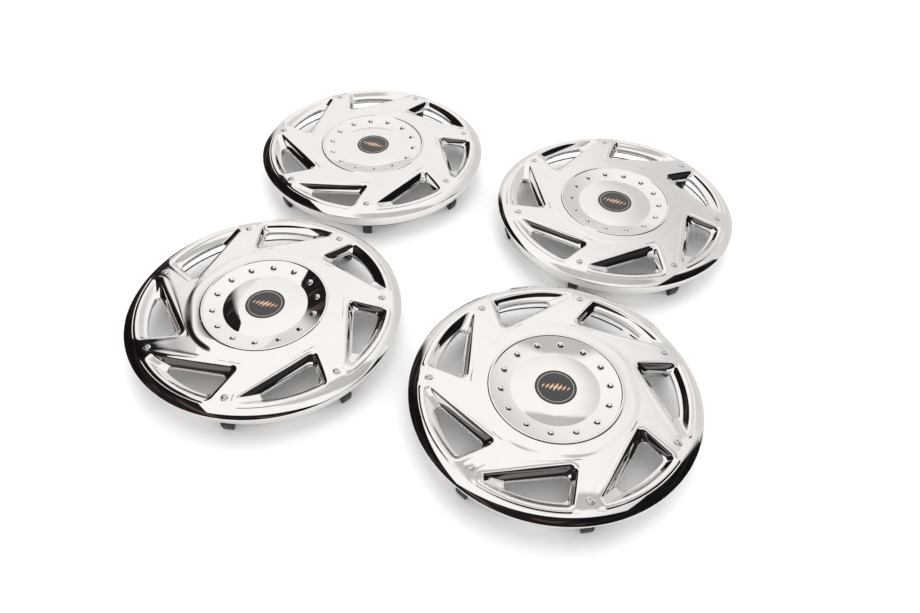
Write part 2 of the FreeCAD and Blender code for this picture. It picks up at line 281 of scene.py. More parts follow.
@dataclass(frozen=True)
class Place:
    """Where one cover of the frame lies: its axle, the turn of its first screw and its scale."""

    name: str
    axle: Vector
    turn: float
    scale: float

    @classmethod
    def of(cls, name: str) -> "Place":
        """Reads the place of a cover from the frame's boxes and its first clip's joint."""
        low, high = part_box(name + "_face")
        centre = (low + high) / 2
        joint = next(item for item in frame["joints"] if item["name"] == name + "_clip_1_flex")
        across = Vector(joint["pos_m"]) - centre
        radius = (high.x - low.x) / 2
        return cls(name, centre, math.atan2(across.y, across.x), radius / DRAWN_RADIUS)

    def moved(self, points: Array) -> Array:
        """Drawn points, turned and moved to this cover's place, in metres."""
        return rotated(points, self.turn) * self.scale + np.array([self.axle.x, self.axle.y, 0.0])

    def piece(self, part: str, surface: Surface, finish: bpy.types.Material, slot: Slot) -> bpy.types.Object:
        """Makes one piece of this cover.

        Args:
            part: The piece's name after the cover's.
            surface: Its skin as drawn.
            finish: Its material.
            slot: The record's material slot that it stands for; not used.

        Returns:
            The new object, riding on the cover's body.
        """
        points, quads = surface.arrays()
        mesh = bpy.data.meshes.new(f"{self.name}_{part}")
        differs = quads != np.roll(quads, -1, axis=1)
        whole = differs.sum(axis=1) >= 3
        quads, differs = quads[whole], differs[whole]
        totals = differs.sum(axis=1)
        mesh.vertices.add(len(points))
        mesh.loops.add(int(totals.sum()))
        mesh.polygons.add(len(totals))
        mesh.vertices.foreach_set("co", self.moved(points).astype(np.float32).ravel())
        mesh.loops.foreach_set("vertex_index", quads[differs].astype(np.int32))
        mesh.polygons.foreach_set("loop_start", (np.cumsum(totals) - totals).astype(np.int32))
        mesh.polygons.foreach_set("use_smooth", np.ones(len(totals), bool))
        mesh.update(calc_edges=True)
        mesh.validate()
        mesh.materials.append(finish)
        piece = bpy.data.objects.new(mesh.name, mesh)
        bpy.context.scene.collection.objects.link(piece)
        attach(piece, self.name + "_cover")
        log.info("%s: %d points, %d faces", piece.name, len(points), len(totals))
        return piece


# ---------------------------------------------------------------------------------------------
# Materials
# ---------------------------------------------------------------------------------------------


@dataclass(frozen=True)
class Finish:
    """A solid finish with a little unevenness in tone, gloss and surface."""

    name: str
    tone: tuple[float, float, float]
    other_tone: tuple[float, float, float]
    metallic: float
    gloss_from: float
    gloss_to: float
    grain: float
    relief: float
    detail: float = 4.0
    wave: float = 0.0
    wave_relief: float = 0.0
    coat: float = 0.0

    def material(self) -> bpy.types.Material:
        """Builds the material.

        Returns:
            A material whose tone and roughness follow a noise on the piece's own coordinates, and
            whose surface rises and falls by the relief in millimetres. A second, broader noise
            adds the slow waviness of a moulding.
        """
        material = bpy.data.materials.new(self.name)
        material.use_nodes = True
        nodes, links = material.node_tree.nodes, material.node_tree.links
        shader = nodes["Principled BSDF"]
        shader.inputs["Metallic"].default_value = self.metallic
        shader.inputs["Coat Weight"].default_value = self.coat
        shader.inputs["Coat Roughness"].default_value = COAT_ROUGHNESS
        place = nodes.new("ShaderNodeTexCoord")
        noise = nodes.new("ShaderNodeTexNoise")
        noise.inputs["Scale"].default_value = self.grain
        noise.inputs["Detail"].default_value = self.detail
        links.new(place.outputs["Object"], noise.inputs["Vector"])
        tones = nodes.new("ShaderNodeValToRGB")
        for stop, position, tone in zip(tones.color_ramp.elements, TONE_SPAN, (self.tone, self.other_tone)):
            stop.position = position
            stop.color = (*tone, 1.0)
        links.new(noise.outputs["Fac"], tones.inputs["Fac"])
        links.new(tones.outputs["Color"], shader.inputs["Base Color"])
        gloss = nodes.new("ShaderNodeMapRange")
        gloss.inputs["From Min"].default_value, gloss.inputs["From Max"].default_value = GLOSS_SPAN
        gloss.inputs["To Min"].default_value = self.gloss_from
        gloss.inputs["To Max"].default_value = self.gloss_to
        links.new(noise.outputs["Fac"], gloss.inputs["Value"])
        links.new(gloss.outputs["Result"], shader.inputs["Roughness"])
        relief = nodes.new("ShaderNodeBump")
        relief.inputs["Strength"].default_value = 1.0
        relief.inputs["Distance"].default_value = self.relief / 1000
        links.new(noise.outputs["Fac"], relief.inputs["Height"])
        if self.wave_relief:
            wave = nodes.new("ShaderNodeTexNoise")
            wave.inputs["Scale"].default_value = self.wave
            wave.inputs["Detail"].default_value = 0.0
            links.new(place.outputs["Object"], wave.inputs["Vector"])
            swell = nodes.new("ShaderNodeBump")
            swell.inputs["Strength"].default_value = 1.0
            swell.inputs["Distance"].default_value = self.wave_relief / 1000
            links.new(wave.outputs["Fac"], swell.inputs["Height"])
            links.new(swell.outputs["Normal"], relief.inputs["Normal"])
        links.new(relief.outputs["Normal"], shader.inputs["Normal"])
        return material


CHROME = Finish(
    "mirror_chrome", (0.845, 0.818, 0.796), (0.862, 0.835, 0.812), 1.0, 0.02, 0.035, 40.0, 0.0003,
    detail=2.0, wave=12.0, wave_relief=0.10,
)
STEEL = Finish("plated_screw_steel", (0.70, 0.70, 0.70), (0.80, 0.80, 0.80), 1.0, 0.10, 0.18, 300.0, 0.004)
CHARCOAL = Finish(
    "charcoal_badge", (0.014, 0.014, 0.016), (0.022, 0.021, 0.023), 0.0, 0.30, 0.42, 260.0, 0.004, coat=0.25
)
ROSE_GOLD = Finish("rose_gold_foil", (0.72, 0.44, 0.30), (0.85, 0.60, 0.42), 1.0, 0.22, 0.34, 500.0, 0.004)
PALE_GOLD = Finish("pale_gold_line", (0.66, 0.58, 0.47), (0.78, 0.70, 0.58), 1.0, 0.22, 0.34, 500.0, 0.004)
BLACK_NYLON = Finish(
    "black_nylon", (0.012, 0.012, 0.012), (0.022, 0.022, 0.023), 0.0, 0.42, 0.58, 700.0, 0.02
)
BLACK_WIRE = Finish(
    "black_oxide_wire", (0.015, 0.015, 0.016), (0.03, 0.028, 0.027), 0.6, 0.30, 0.45, 400.0, 0.006
)


# ---------------------------------------------------------------------------------------------
# The chrome moulding
# ---------------------------------------------------------------------------------------------


@dataclass(frozen=True)
class WindowOutline:
    """Rounded outline of a vent window at one level: tip, hub corner, wide corner and end."""

    tip: Pair
    hub: Pair
    wide_angle: float
    end_angle: float
    rim: float
    small: float = 3.6
    large: float = 8.0

    def plan(self, wall: float = 0.0) -> Array:
        """Points of the outline moved outwards by a wall, clockwise from the tip.

        It runs up the straight hub side, round the hub corner, across the wide end, back along
        the arc round the axle and round the narrow end. The number of points in each stretch is
        the same at every level, so that outlines can be joined point by point.
        """
        rim, small, large = self.rim + wall, self.small + wall, self.large + wall
        tip, hub = polar(*self.tip), polar(*self.hub)
        wide, end = polar(self.rim, self.wide_angle), polar(self.rim, self.end_angle)
        sides = ((tip, hub), (hub, wide), (end, tip))
        hub_side, wide_side, tip_side = [moved_out(side, wall) for side in sides]
        tip_centre, tip_start, tip_end = side_bend(tip_side, hub_side, small)
        hub_centre, hub_start, hub_end = side_bend(hub_side, wide_side, large)
        wide_centre, wide_start, wide_end = rim_bend(wide_side, wide_side[1], rim, large)
        end_centre, end_end, end_start = rim_bend(tip_side, tip_side[0], rim, small)
        stretches = (
            straight(tip_end, hub_start, 40),
            arc(hub_centre, hub_start, hub_end, 15),
            straight(hub_end, wide_start, 6),
            arc(wide_centre, wide_start, wide_end, 15),
            arc(0j, wide_end, end_start, 34),
            arc(end_centre, end_start, end_end, 11),
            straight(end_end, tip_start, 4),
            arc(tip_centre, tip_start, tip_end, 11),
        )
        return np.concatenate(stretches)


@dataclass(frozen=True)
class Face:
    """The chrome moulding: dished centre, seven swept windows with sloping wells, rolled rim."""

    mouth: WindowOutline = WindowOutline((178.7, 4.9), (125.5, 51.6), 44.5, 5.4, 188.5)
    hole: WindowOutline = WindowOutline((165.7, 14.5), (136.2, 47.1), 42.7, 16.0, 174.5)
    badge_seat: Pair = (29.6, 51.6)
    disc_edge_level: float = 53.9
    disc_dome: float = 190.0
    disc_foot: Pair = (64.0, 50.4)
    bead: tuple[Pair, ...] = ((92.4, 57.0), (93.6, 58.3), (95.8, 58.3), (97.0, 56.9))
    plateau: Pair = (108.0, 57.1)
    inner_ring: Pair = (121.0, 56.5)
    crown: Pair = (150.0, 56.2)
    crown_power: float = 4.0
    outer_ring: float = 194.5
    lip: tuple[Pair, ...] = ((209.0, 45.8), (209.0, 43.9), (207.0, 43.9), (199.0, 48.4), (197.0, 49.6))
    hole_level: float = 44.5
    hole_foot: float = 39.5
    hole_edge: float = 0.9
    mouth_lip: float = 4.2
    lip_foot: float = 6.0
    pillow: float = 0.16
    pillow_width: float = 12.0
    wall_hollow: float = 2.2
    hollow_share: float = 0.22
    outside_drop: float = 0.4
    foot_edge: float = 0.6
    row_spread: float = 1.4
    long_steps: int = 48
    short_steps: int = 20
    lobes: float = 2.4
    lobe_turn: float = 8.0
    lobe_margin: float = 1.0
    lip_rise: float = 0.45
    window_wall: float = 2.0
    side_lean: Pair = (6.0, -0.8)
    back_radii: tuple[float, ...] = (0.0, 64.0, 92.4, 121.0, 169.5, 171.5, 188.0, 197.0)
    back_levels: tuple[float, ...] = (49.0, 48.1, 54.3, 54.3, 52.6, 51.8, 51.8, 49.6)
    skirt: tuple[Pair, ...] = ((197.0, 50.4), (199.0, 50.4), (199.0, 21.0), (197.0, 21.0))

    def front_level(self, radius: Array) -> Array:
        """Level of the face: a slight cone, then a fall that grows with the distance's power."""
        cone = np.interp(radius, (self.inner_ring[0], self.crown[0]), (self.inner_ring[1], self.crown[1]))
        share = np.clip((radius - self.crown[0]) / (self.lip[0][0] - self.crown[0]), 0.0, 1.0)
        return cone - (self.crown[1] - self.lip[0][1]) * share**self.crown_power

    def back_level(self, radius: Array) -> Array:
        """Level of the underside, straight between its ridges."""
        return np.interp(radius, self.back_radii, self.back_levels)

    def cell_boundary(self) -> Array:
        """Plan of the boundary of one window's cell, point for point with the outlines.

        Its short sides lie along the middle of the spokes: their angle changes evenly with the
        radius from the inner ring to the outer one. Its long sides are arcs of the two rings.
        """
        inner, outer = self.inner_ring[0], self.outer_ring
        inner_lean, outer_lean = (math.radians(lean) for lean in self.side_lean)
        along = np.arange(self.long_steps) / self.long_steps
        across = np.arange(self.short_steps) / self.short_steps
        step_out = inner + (outer - inner) * across
        lean_out = inner_lean + (outer_lean - inner_lean) * across
        step_in = outer + (inner - outer) * across
        lean_in = outer_lean + (inner_lean - outer_lean) * across
        stretches = (
            inner * np.exp(1j * (inner_lean + SPOKE_STEP * along)),
            step_out * np.exp(1j * (lean_out + SPOKE_STEP)),
            outer * np.exp(1j * (outer_lean + SPOKE_STEP * (1 - along))),
            step_in * np.exp(1j * lean_in),
        )
        return np.concatenate(stretches)

    def window_cell(self) -> Array:
        """One window with its share of the face, as one grid from the back to the front.

        Rows run from the cell's boundary along the underside, down the outside of the well, round
        the foot of the hole's upright lip, up the well's sloping, hollow wall and over the softly
        rounded mouth back to the boundary, where the face first sinks a little. Rows between two
        curves are straight or quadratic.
        """
        mouth, hole = self.mouth.plan(), self.hole.plan()
        wall, boundary = self.window_wall, self.cell_boundary()
        hole_out, mouth_out = self.hole.plan(wall), self.mouth.plan(wall)
        face_side, foot_side = self.mouth.plan(self.mouth_lip), self.mouth.plan(self.lip_foot)
        outward = 1j * (np.roll(mouth, -1) - np.roll(mouth, 1))
        rimward = np.clip((outward / abs(outward) * mouth.conjugate() / abs(mouth)).real, 0.0, 1.0)
        rise = self.lip_rise * rimward**2
        mouth_edge = lifted(mouth, self.front_level(abs(mouth)) + rise)
        hole_edge = lifted(hole, self.hole_level)
        slope = mouth_edge - hole_edge
        length = np.linalg.norm(slope, axis=-1, keepdims=True)
        wall_low = hole_edge + slope * self.hole_edge / length
        wall_top = mouth_edge - slope * self.mouth_lip / length
        face_edge = lifted(face_side, self.front_level(abs(face_side)) + rise)
        lip_foot = lifted(foot_side, self.front_level(abs(foot_side)))
        lip_corner = lifted((face_side + foot_side) / 2, self.front_level(abs(foot_side)) + rise * 0.2)
        sag = np.minimum(self.wall_hollow, self.hollow_share * length)
        hollow = (wall_low + wall_top) / 2 - np.array([0.0, 0.0, 1.0]) * sag
        few, some, many = (np.arange(steps) / steps for steps in (2, 5, 7))
        share = np.linspace(0.0, 1.0, 11)[:, None] ** self.row_spread
        plan = (1 - share) * foot_side + share * boundary
        reach = np.clip(abs(plan - foot_side) / self.pillow_width, 0.0, 1.0)
        sunk = self.pillow * np.sin(np.pi * reach) * (1 - share)
        pillowed = lifted(plan, self.front_level(abs(plan)) - sunk)
        under_mouth = lifted(mouth_out, self.back_level(abs(mouth_out)))
        under_hole = lifted(hole_out, self.hole_level - self.outside_drop)
        foot = lifted(self.hole.plan(wall / 2), self.hole_foot)
        foot_inside = lifted(hole, self.hole_foot + self.foot_edge)
        hole_inside = lifted(hole, self.hole_level - self.hole_edge)
        rows = (
            lofted(lifted(boundary, self.back_level(abs(boundary))), under_mouth, few),
            lofted(under_mouth, under_hole, few),
            lofted(under_hole, lifted(hole_out, self.hole_foot), few),
            rounded(foot, lifted(hole, self.hole_foot), foot_inside, few),
            lofted(foot_inside, hole_inside, few),
            rounded(hole_inside, hole_edge, wall_low, some),
            rounded(wall_low, hollow, wall_top, many),
            rounded(wall_top, mouth_edge, face_edge, many),
            rounded(face_edge, lip_corner, lip_foot, few),
            pillowed,
        )
        return np.concatenate(rows)

    def hub_profile(self) -> Array:
        """Front of the centre: badge seat, domed disc, dish, bead, plateau and its soft step."""
        start, end = self.badge_seat[0], self.disc_foot[0]
        radii = np.linspace(start, end, 12)
        sphere = np.sqrt(self.disc_dome**2 - radii**2)
        tilt = (self.disc_foot[1] - self.disc_edge_level - (sphere[-1] - sphere[0])) / (end - start)
        disc = self.disc_edge_level + sphere - sphere[0] + tilt * (radii - start)
        corners = [(0.0, self.badge_seat[1]), self.badge_seat, *zip(radii, disc)]
        corners += [*self.bead, self.plateau]
        step = np.linspace(0.0, 1.0, 10)
        ease = step**2 * (3 - 2 * step)
        soft_step = np.stack([
            self.plateau[0] + step * (self.inner_ring[0] - self.plateau[0]),
            self.plateau[1] + ease * (self.inner_ring[1] - self.plateau[1]),
        ], axis=-1)
        return np.vstack([softened(corners, 0.55, 4), soft_step[1:]])

    def hub(self, angles: Array) -> Array:
        """Front of the centre, with its soft step drawn out into seven lobes.

        A point's distance from the axle grows by lobes sin(pi s)^2 cos(7 (a - turn)), where s goes
        from 0 just outside the bead to 1 at the inner ring.

        Args:
            angles: Angles of the columns in radians.

        Returns:
            Grid of points, one row for each point of the profile.
        """
        grid = turned(self.hub_profile(), angles)
        reach = np.hypot(grid[..., :1], grid[..., 1:2])
        start = self.bead[-1][0] + self.lobe_margin
        share = np.clip((reach - start) / (self.inner_ring[0] - start), 0.0, 1.0)
        lobe = np.cos(SPOKES * (angles - math.radians(self.lobe_turn)))[None, :, None]
        grid[..., :2] *= 1 + self.lobes * np.sin(np.pi * share) ** 2 * lobe / np.maximum(reach, 1.0)
        return grid

    def rim_profile(self) -> Array:
        """Rolled edge from the outer ring down to the lip and back along the underside."""
        radii = np.linspace(self.outer_ring, self.lip[0][0], 14)[:-1]
        roll = np.stack([radii, self.front_level(radii)], axis=-1)
        back = (self.outer_ring, float(self.back_level(self.outer_ring)))
        return np.vstack([roll[:-1], softened([tuple(roll[-1]), *self.lip, back], 0.35, 4)])

    def surface(self) -> Surface:
        """The whole moulding as one closed skin, with the skirt as a second one that meets it."""
        whole = Surface()
        whole.add(self.window_cell(), wraps=True)
        whole = whole.repeat(SPOKES)
        inner = full_turn(self.long_steps * SPOKES, math.radians(self.side_lean[0]))
        outer = full_turn(self.long_steps * SPOKES, math.radians(self.side_lean[1]))
        whole.add(self.hub(inner), wraps=True)
        back_radii = np.array([self.inner_ring[0], 107.0, 92.4, 80.0, 64.0, 32.0, 0.0])
        whole.add(turned(np.stack([back_radii, self.back_level(back_radii)], axis=-1), inner), wraps=True)
        whole.add(turned(self.rim_profile(), outer), wraps=True)
        whole.add(turned(softened(list(self.skirt), 0.4, 4, closed=True), full_turn(224)), wraps=True)
        return whole


@dataclass(frozen=True)
class Studs:
    """Small round details of the moulding: the ring of domes and the collars under the screws."""

    dome_circle: float = 78.2
    dome_phase: float = 7.0
    dish_level: float = 53.85
    dish_slope: float = 0.2218
    dome: tuple[Pair, ...] = (
        (0.0, 2.6), (2.2, 2.6), (3.9, 0.9), (4.4, 0.12), (5.8, -0.02), (5.8, -1.2), (0.0, -1.2),
    )
    screw_circle: float = 178.9
    collar: tuple[Pair, ...] = ((0.0, 55.6), (5.9, 55.6), (6.5, 55.15), (7.3, 54.9), (7.3, 53.6), (0.0, 53.6))

    def dome_surface(self) -> Surface:
        """Domes with a flared foot, sheared so that they sit on the dish's slope.

        A point at a distance d outwards from a dome's own axis is raised by d times the slope.
        """
        one = turned(softened(list(self.dome), 1.1, 6), full_turn(28))
        one[..., 2] += self.dish_level + self.dish_slope * one[..., 0]
        one[..., 0] += self.dome_circle
        single = Surface()
        single.add(rotated(one, math.radians(self.dome_phase)), wraps=True)
        return single.repeat(2 * SPOKES)

    def collar_surface(self) -> Surface:
        """Low collars that the screw heads bear on."""
        one = turned(softened(list(self.collar), 0.35, 4), full_turn(40))
        one[..., 0] += self.screw_circle
        single = Surface()
        single.add(one, wraps=True)
        return single.repeat(SPOKES)


# ---------------------------------------------------------------------------------------------
# Screws, wire ring and badge
# ---------------------------------------------------------------------------------------------


@dataclass(frozen=True)
class Screws:
    """Seven pan-head screws with a crossed recess."""

    circle: float = 178.9
    profile: tuple[Pair, ...] = (
        (0.0, 57.4), (3.0, 57.3), (4.5, 56.8), (5.0, 55.9), (5.0, 55.62),
        (1.8, 55.62), (1.8, 44.9), (1.4, 44.5), (0.0, 44.5),
    )
    recess_half_width: float = 0.55
    recess_reach: float = 2.3
    recess_depth: float = 1.1

    def surface(self) -> Surface:
        """Heads turned from a profile, with the recess pressed in.

        A head point sinks by the depth where it lies within the half width of either arm of a
        cross, and the edge of the recess is a ramp 0.3 mm wide.
        """
        top = np.stack([np.linspace(0.0, 2.9, 15), np.full(15, self.profile[0][1])], axis=-1)
        outline = np.vstack([top, softened([(2.9, 57.4), *self.profile[1:]], 0.5, 5)[1:]])
        head = turned(outline, full_turn(48))
        x, y = abs(head[..., 0]), abs(head[..., 1])
        inside = np.clip((self.recess_half_width - np.minimum(x, y)) / 0.3 + 0.5, 0.0, 1.0)
        inside *= np.clip((self.recess_reach - np.maximum(x, y)) / 0.5, 0.0, 1.0)
        inside[len(top):] = 0.0
        head[..., 2] -= self.recess_depth * inside
        head[..., 0] += self.circle
        single = Surface()
        single.add(head, wraps=True)
        return single.repeat(SPOKES)


@dataclass(frozen=True)
class SpringRing:
    """Round spring wire, split at one place half way between two clips."""

    radius: float = 190.4
    level: float = 14.0
    wire: float = 1.1
    gap: float = 4.0

    def surface(self) -> Surface:
        """Tube round an arc: (R + w cos b) at angle a, level + w sin b, closed by flat ends."""
        start = math.pi / SPOKES + math.radians(self.gap) / 2
        along = np.linspace(start + math.tau - math.radians(self.gap), start, 280)
        around = np.linspace(0.0, math.tau, 12, endpoint=False)
        size = np.full(len(along), self.wire)
        along, size = np.r_[along[0], along, along[-1]], np.r_[0.0, size, 0.0]
        reach = self.radius + size[:, None] * np.cos(around)
        level = self.level + size[:, None] * np.sin(around)
        tube = np.stack([reach * np.cos(along)[:, None], reach * np.sin(along)[:, None], level], axis=-1)
        whole = Surface()
        whole.add(tube, wraps=True)
        return whole


@dataclass(frozen=True)
class Badge:
    """Charcoal centre badge with a thin line near its edge and a plain row of lozenges."""

    radius: float = 29.3
    foot: float = 51.6
    top: float = 53.8
    line_radius: float = 25.6
    line_width: float = 0.9
    line_rise: float = 0.22
    lozenges: int = 7
    lozenge_pitch: float = 6.0
    lozenge_half_height: float = 8.4
    lozenge_half_width: float = 3.1
    lozenge_lean: float = 0.45
    lozenge_rise: float = 0.35
    lozenge_falloff: float = 0.16

    def disc(self) -> Surface:
        """The badge itself, with a softly rounded edge."""
        edge = [(self.radius - 0.5, self.top), (self.radius, self.top - 0.6), (self.radius, self.foot)]
        corners = [(0.0, self.top), *edge, (0.0, self.foot)]
        whole = Surface()
        whole.add(turned(softened(corners, 0.4, 5), full_turn(128)), wraps=True)
        return whole

    def line(self) -> Surface:
        """Raised line round the badge."""
        inner, outer = self.line_radius - self.line_width / 2, self.line_radius + self.line_width / 2
        top, foot = self.top + self.line_rise, self.top - 0.3
        whole = Surface()
        corners = [(inner, top), (outer, top), (outer, foot), (inner, foot)]
        whole.add(turned(softened(corners, 0.15, 3, closed=True), full_turn(160)), wraps=True)
        return whole

    def row(self, direction: float) -> Surface:
        """Row of leaning lozenges along a direction in radians, smaller towards its ends.

        Ring k of a lozenge is its outline shrunk to a share of its size and lifted to a level;
        the outline is |x / w| + |y / h| = 1, sheared by the lean.
        """
        corner = np.exp(1j * (np.arange(24) / 24 * -math.tau))
        spread = abs(corner.real) + abs(corner.imag)
        outline = corner / spread
        shares = np.array([0.0, 0.55, 0.88, 1.0, 1.0, 0.0])
        levels = self.top + np.array([1.0, 1.0, 1.0, 0.55, -0.6, -0.6]) * self.lozenge_rise
        whole = Surface()
        for number in range(self.lozenges):
            offset = number - (self.lozenges - 1) / 2
            size = 1.0 - self.lozenge_falloff * abs(offset)
            x = outline.real * self.lozenge_half_width * size
            y = outline.imag * self.lozenge_half_height * size
            plan = (x + self.lozenge_lean * y + offset * self.lozenge_pitch) + 1j * y
            centre = offset * self.lozenge_pitch + 0j
            rings = centre + shares[:, None] * (plan - centre)[None]
            rings = rings * np.exp(1j * direction)
            heights = np.broadcast_to(levels[:, None], rings.shape)
            whole.add(np.stack([rings.real, rings.imag, heights], axis=-1), wraps=True)
        return whole


# ---------------------------------------------------------------------------------------------
# A cover and the studio
# ---------------------------------------------------------------------------------------------


@dataclass(frozen=True)
class Finishes:
    """The materials of the set, built once."""

    chrome: bpy.types.Material
    steel: bpy.types.Material
    charcoal: bpy.types.Material
    rose_gold: bpy.types.Material
    pale_gold: bpy.types.Material
    nylon: bpy.types.Material
    wire: bpy.types.Material

    @classmethod
    def build(cls) -> "Finishes":
        """Builds every finish of the set."""
        finishes = (CHROME, STEEL, CHARCOAL, ROSE_GOLD, PALE_GOLD, BLACK_NYLON, BLACK_WIRE)
        return cls(*(finish.material() for finish in finishes))


@dataclass(frozen=True)
class Cover:
    """One wheel cover: its shapes in its place in the frame."""

    place: Place
    badge_direction: float

    def build(self, finishes: Finishes) -> None:
        """Makes and dresses every piece of this cover.

        Args:
            finishes: The materials of the set.
        """
        name, place = self.place.name, self.place
        face = place.piece("moulding", Face().surface(), finishes.chrome, Slot.CHROME)
        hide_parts(name + "_face")
        place.piece("dome_ring", Studs().dome_surface(), finishes.chrome, Slot.CHROME)
        place.piece("screw_collars", Studs().collar_surface(), finishes.chrome, Slot.CHROME)
        screws = place.piece("pan_screws", Screws().surface(), finishes.steel, Slot.SCREW)
        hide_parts(name + "_screws")
        ring = place.piece("wire_ring", SpringRing().surface(), finishes.wire, Slot.WIRE)
        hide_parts(name + "_spring_ring")
        disc = place.piece("badge_disc", Badge().disc(), finishes.charcoal, Slot.BADGE)
        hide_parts(name + "_badge")
        place.piece("badge_line", Badge().line(), finishes.pale_gold, Slot.BADGE)
        row = Badge().row(math.radians(self.badge_direction) - place.turn)
        place.piece("badge_lozenges", row, finishes.rose_gold, Slot.BADGE)
        for number in range(1, SPOKES + 1):
            clip = frame["nodes"][f"{name}_clip_{number}"]
            clip.data.materials.clear()
            clip.data.materials.append(finishes.nylon)


class Graph:
    """Short ways to add nodes to one shader's tree."""

    def __init__(self, tree: bpy.types.NodeTree) -> None:
        """Keeps the tree's nodes and links."""
        self.nodes, self.links = tree.nodes, tree.links

    def feed(self, socket: bpy.types.NodeSocket, value: object) -> None:
        """Links a socket to the input, or sets the input's number or colour."""
        if isinstance(value, bpy.types.NodeSocket):
            self.links.new(value, socket)
        else:
            socket.default_value = value

    def maths(self, operation: str, *values: object) -> bpy.types.NodeSocket:
        """One Math node; each value is a number or a socket."""
        node = self.nodes.new("ShaderNodeMath")
        node.operation = operation
        for socket, value in zip(node.inputs, values):
            self.feed(socket, value)
        return node.outputs[0]

    def ranged(
        self, value: object, low: float, high: float, first: float, last: float
    ) -> bpy.types.NodeSocket:
        """Smooth change from one number to another.

        Args:
            value: Number or socket that drives it.
            low: Value at which the change starts.
            high: Value at which it ends.
            first: Number up to the start.
            last: Number from the end on.

        Returns:
            Socket with the changed number.
        """
        node = self.nodes.new("ShaderNodeMapRange")
        node.interpolation_type = "SMOOTHSTEP"
        names = ("Value", "From Min", "From Max", "To Min", "To Max")
        for name, size in zip(names, (value, low, high, first, last)):
            self.feed(node.inputs[name], size)
        return node.outputs["Result"]

    def blended(self, share: object, under: object, over: object) -> bpy.types.NodeSocket:
        """Colour mixed from under towards over by a share."""
        node = self.nodes.new("ShaderNodeMix")
        node.data_type = "RGBA"
        for socket, value in ((node.inputs[0], share), (node.inputs[6], under), (node.inputs[7], over)):
            self.feed(socket, value)
        return node.outputs[2]

    def noise(
        self, place: bpy.types.NodeSocket, scale: float, stretch: tuple[float, float, float] = (1.0, 1.0, 1.0)
    ) -> bpy.types.NodeSocket:
        """Noise on stretched coordinates."""
        mapping = self.nodes.new("ShaderNodeMapping")
        mapping.inputs["Scale"].default_value = stretch
        self.links.new(place, mapping.inputs["Vector"])
        noise = self.nodes.new("ShaderNodeTexNoise")
        noise.inputs["Scale"].default_value = scale
        noise.inputs["Detail"].default_value = 2.0
        self.links.new(mapping.outputs["Vector"], noise.inputs["Vector"])
        return noise.outputs["Fac"]

    def split(self, output: str) -> tuple[bpy.types.NodeSocket, ...]:
        """Texture coordinates of a kind, whole and as three numbers."""
        place = self.nodes.new("ShaderNodeTexCoord").outputs[output]
        parts = self.nodes.new("ShaderNodeSeparateXYZ")
        self.links.new(place, parts.inputs[0])
        return place, *parts.outputs


@dataclass(frozen=True)
class Patch:
    """Part of the surroundings between two bearings and two heights, in degrees, soft at its edge."""

    bearing: float
    half_width: float
    low: float
    high: float
    soft: float
    share: float
    tint: tuple[float, float, float] = (1.0, 1.0, 1.0)

    def weight(self, graph: Graph, bearing: object, height: object) -> bpy.types.NodeSocket:
        """How much of the patch lies in a direction given in radians."""
        aside = graph.maths("SUBTRACT", bearing, math.radians(self.bearing))
        aside = graph.maths("ABSOLUTE", graph.maths("WRAP", aside, math.pi, -math.pi))
        middle = math.radians(self.low + self.high) / 2
        upright = graph.maths("ABSOLUTE", graph.maths("SUBTRACT", height, middle))
        shares = []
        for distance, limit in ((aside, self.half_width), (upright, (self.high - self.low) / 2)):
            low, high = (math.radians(limit + side * self.soft / 2) for side in (-1, 1))
            shares.append(graph.ranged(distance, low, high, 1.0, 0.0))
        return graph.maths("MULTIPLY", graph.maths("MULTIPLY", *shares), self.share)


